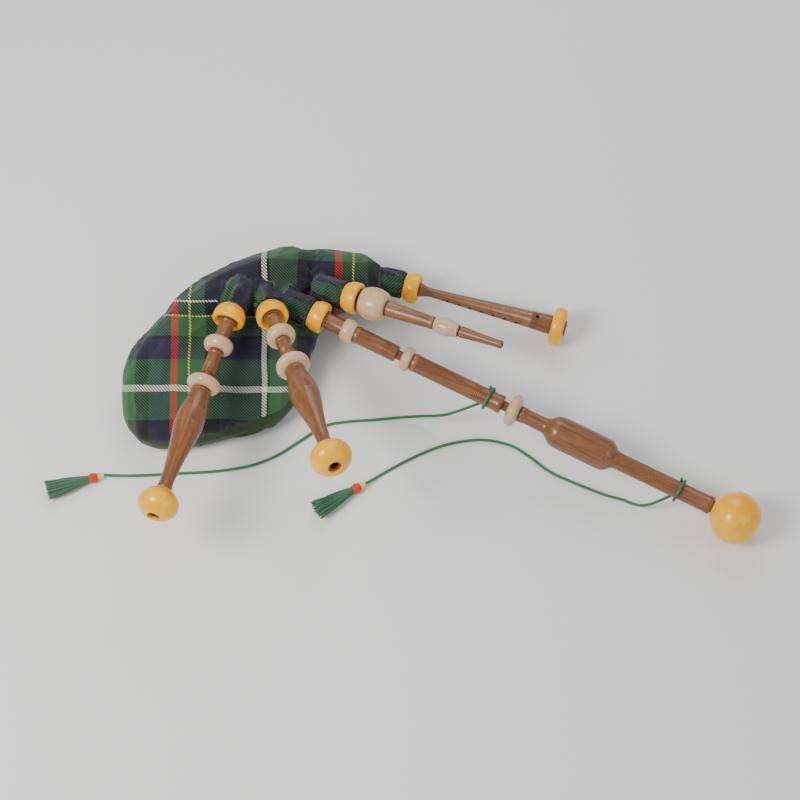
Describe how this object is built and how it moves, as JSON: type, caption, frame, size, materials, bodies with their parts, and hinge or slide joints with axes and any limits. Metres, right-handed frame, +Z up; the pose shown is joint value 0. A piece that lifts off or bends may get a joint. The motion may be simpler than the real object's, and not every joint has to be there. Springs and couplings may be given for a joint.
{
  "type": "bagpipes",
  "caption": "Bagpipes set down ready to play: tartan-covered air bag with chanter, blowpipe, one long and two short drones, tuning slides and tasselled drone cords.",
  "frame": {"origin": "on the flat patch that the bag rests on, at the middle of the bag's length", "axes": "+X towards the long drone's bell, -Y towards the two short drones, +Z up from the surface it rests on"},
  "size_m": [1.3441, 0.6247, 0.3506],
  "materials": {
    "tartan": "woven wool tartan in dark green, navy and black with red, white and yellow lines",
    "hide": "undyed sealed hide",
    "wood": "turned and oiled brown hardwood, satin",
    "yellow": "turned amber-yellow mounts, polished",
    "cream": "turned imitation ivory, warm cream, polished",
    "hemp": "waxed hemp thread, wound",
    "cane": "split cane",
    "rubber": "soft black rubber",
    "green_cord": "twisted silk cord, green",
    "tassel_green": "cut green threads",
    "tassel_red": "wound red thread with a yellow end"
  },
  "bodies": {
    "bag": {"bag_cover": "tartan", "air_bag": "hide", "chanter_stock": "wood", "chanter_ferrule": "yellow", "chanter_binding": "hemp", "blowpipe_stock": "wood", "blowpipe_ferrule": "yellow", "blowpipe_binding": "hemp", "bass_stock": "wood", "bass_ferrule": "yellow", "bass_binding": "hemp", "tenor_middle_stock": "wood", "tenor_middle_ferrule": "yellow", "tenor_middle_binding": "hemp", "tenor_left_stock": "wood", "tenor_left_ferrule": "yellow", "tenor_left_binding": "hemp", "long_cord": "green_cord", "long_tassel_head": "tassel_red", "long_tassel_skirt": "tassel_green", "short_cord": "green_cord", "short_tassel_head": "tassel_red", "short_tassel_skirt": "tassel_green"},
    "chanter": {"chanter": "wood", "chanter_sole": "yellow", "chanter_hemp": "hemp", "chanter_reed": "cane"},
    "blowpipe": {"blowpipe": "wood", "blowpipe_ball": "cream", "blowpipe_mount": "cream", "blowpipe_hemp": "hemp"},
    "mouthpiece": {"mouthpiece": "wood"},
    "valve": {"valve_flap": "rubber"},
    "bass_bottom": {"bass_bottom_joint": "wood", "bass_ball": "cream", "bass_stock_hemp": "hemp", "bass_lower_hemp": "hemp", "bass_reed": "cane"},
    "bass_middle": {"bass_middle_joint": "wood", "bass_lower_ring": "cream", "bass_upper_hemp": "hemp"},
    "bass_top": {"bass_top_joint": "wood", "bass_upper_ring": "cream", "bass_bell": "yellow"},
    "tenor_middle_bottom": {"tenor_middle_bottom_joint": "wood", "tenor_middle_ball": "cream", "tenor_middle_stock_hemp": "hemp", "tenor_middle_slide_hemp": "hemp", "tenor_middle_reed": "cane"},
    "tenor_middle_top": {"tenor_middle_top_joint": "wood", "tenor_middle_ring": "cream", "tenor_middle_bell": "yellow"},
    "tenor_left_bottom": {"tenor_left_bottom_joint": "wood", "tenor_left_ball": "cream", "tenor_left_stock_hemp": "hemp", "tenor_left_slide_hemp": "hemp", "tenor_left_reed": "cane"},
    "tenor_left_top": {"tenor_left_top_joint": "wood", "tenor_left_ring": "cream", "tenor_left_bell": "yellow"}
  },
  "joints": [
    {"name": "chanter_turn", "type": "hinge", "parent": "bag", "child": "chanter", "pos_m": [0.278, 0.184, 0.052], "axis": [0.9606, -0.2754, -0.0384], "continuous": true},
    {"name": "blowpipe_turn", "type": "hinge", "parent": "bag", "child": "blowpipe", "pos_m": [0.164, 0.105, 0.148], "axis": [0.8978, -0.4148, 0.1478], "continuous": true},
    {"name": "mouthpiece_turn", "type": "hinge", "parent": "blowpipe", "child": "mouthpiece", "pos_m": [0.34356, 0.02203, 0.17756], "axis": [0.8978, -0.4148, 0.1478], "continuous": true},
    {"name": "valve_flap_swing", "type": "hinge", "parent": "blowpipe", "child": "valve", "pos_m": [0.1322, 0.11969, 0.15035], "axis": [0.4195, 0.9078, 0], "range_deg": [0, 50], "stiffness_Nm_per_rad": 0.001, "springref_deg": -11.46},
    {"name": "bass_turn", "type": "hinge", "parent": "bag", "child": "bass_bottom", "pos_m": [0.099, 0.07, 0.134], "axis": [0.893, -0.4394, -0.0969], "continuous": true},
    {"name": "bass_lower_tune", "type": "slide", "parent": "bass_bottom", "child": "bass_middle", "axis": [0.893, -0.4394, -0.0969], "range_m": [-0.008, 0.025]},
    {"name": "bass_upper_tune", "type": "slide", "parent": "bass_middle", "child": "bass_top", "axis": [0.893, -0.4394, -0.0969], "range_m": [-0.008, 0.025]},
    {"name": "tenor_middle_turn", "type": "hinge", "parent": "bag", "child": "tenor_middle_bottom", "pos_m": [0.005, 0.045, 0.18], "axis": [0.2913, -0.8965, 0.3338], "continuous": true},
    {"name": "tenor_middle_tune", "type": "slide", "parent": "tenor_middle_bottom", "child": "tenor_middle_top", "axis": [0.2913, -0.8965, 0.3338], "range_m": [-0.008, 0.025]},
    {"name": "tenor_left_turn", "type": "hinge", "parent": "bag", "child": "tenor_left_bottom", "pos_m": [-0.08, 0.036, 0.184], "axis": [-0.2755, -0.9607, 0.0349], "continuous": true},
    {"name": "tenor_left_tune", "type": "slide", "parent": "tenor_left_bottom", "child": "tenor_left_top", "axis": [-0.2755, -0.9607, 0.0349], "range_m": [-0.008, 0.025]}
  ]
}
